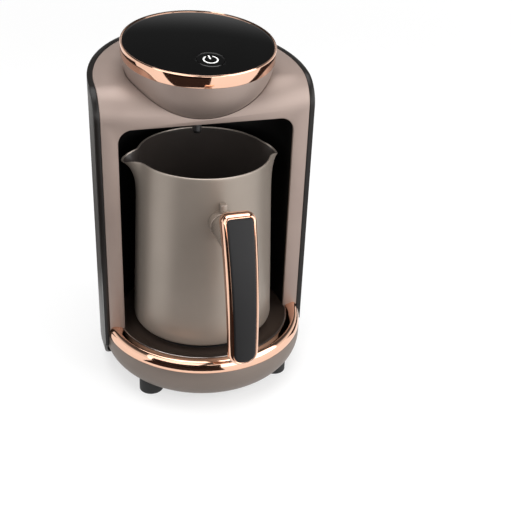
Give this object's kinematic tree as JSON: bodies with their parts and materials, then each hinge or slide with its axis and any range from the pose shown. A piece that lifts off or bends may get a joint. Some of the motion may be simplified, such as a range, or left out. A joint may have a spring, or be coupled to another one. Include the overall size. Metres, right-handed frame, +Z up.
{
  "type": "electric coffee maker",
  "caption": "Electric turkish coffee maker: tower with a pot niche, hot plate in a copper-ringed base, glass-topped head with a power button, and a lift-out spouted pot with a hanging handle.",
  "frame": {"origin": "on the floor, under the middle of the whole object, sideways and front to back", "axes": "+Z up, -Y to the front where the pot handle is, +X to the right of someone facing the front"},
  "size_m": [0.1516, 0.1961, 0.2481],
  "materials": {
    "taupe_shell": "matt moulded plastic, warm taupe",
    "grey_shell": "matt moulded plastic, grey",
    "gloss_trim": "gloss black-brown plastic",
    "copper_chrome": "polished copper-coloured plating",
    "black_glass": "black glass, opaque behind its surface",
    "button_cap": "gloss black plastic",
    "white_symbol": "light diffuser, white",
    "dark_dish": "dark brown enamel",
    "plate_metal": "dark heat-proof coating on an aluminium plate",
    "pot_coating": "satin taupe coating on metal",
    "inlay": "fine matt heat-proof plastic",
    "liner": "matt black heat-proof plastic",
    "black_plastic": "black plastic",
    "rubber": "soft rubber",
    "silicone": "heat-proof silicone",
    "steel": "stainless steel",
    "screw_steel": "zinc-plated steel",
    "element": "sheathed tubular element",
    "ceramic": "ceramic and phenolic bodies",
    "circuit_board": "green solder mask",
    "board_parts": "moulded electronic parts",
    "wiring": "heat-proof wire insulation"
  },
  "bodies": {
    "housing": {"base_shell": "taupe_shell", "base_plate": "black_plastic", "feet": "rubber", "base_screws": "screw_steel", "base_ring": "copper_chrome", "pot_dish": "dark_dish", "plate_seal": "silicone", "heating_plate": "plate_metal", "heating_element": "element", "heater_pan": "steel", "thermostat": "ceramic", "thermal_fuse": "ceramic", "front_shell": "taupe_shell", "trim_band": "gloss_trim", "rear_shell": "grey_shell", "niche_liner": "liner", "niche_roof": "liner", "sensor_probe": "steel", "sensor_holder": "black_plastic", "head_neck": "black_plastic", "power_board": "circuit_board", "power_parts": "board_parts", "board_posts": "black_plastic", "board_screws": "screw_steel", "loom": "wiring", "heater_wires": "wiring", "cord_gland": "rubber", "head_bowl": "taupe_shell", "head_ring": "copper_chrome", "glass_top": "black_glass", "button_guide": "black_plastic", "control_board": "circuit_board", "control_parts": "board_parts"},
    "pot": {"pot_body": "pot_coating", "pot_boss": "pot_coating", "pot_tab": "pot_coating", "handle_stem": "pot_coating", "handle_frame": "copper_chrome", "handle_inlay": "inlay", "handle_screw": "screw_steel"},
    "button": {"power_button": "button_cap", "power_symbol": "white_symbol"}
  },
  "joints": [
    {"name": "pot_lift", "type": "slide", "parent": "housing", "child": "pot", "axis": [0, -0.9877, 0.1564], "range_m": [0, 0.14]},
    {"name": "button_press", "type": "slide", "parent": "housing", "child": "button", "axis": [0, 0.1374, -0.9905], "range_m": [0, 0.001], "stiffness_N_per_m": 1000, "springref_m": -0.0005}
  ]
}
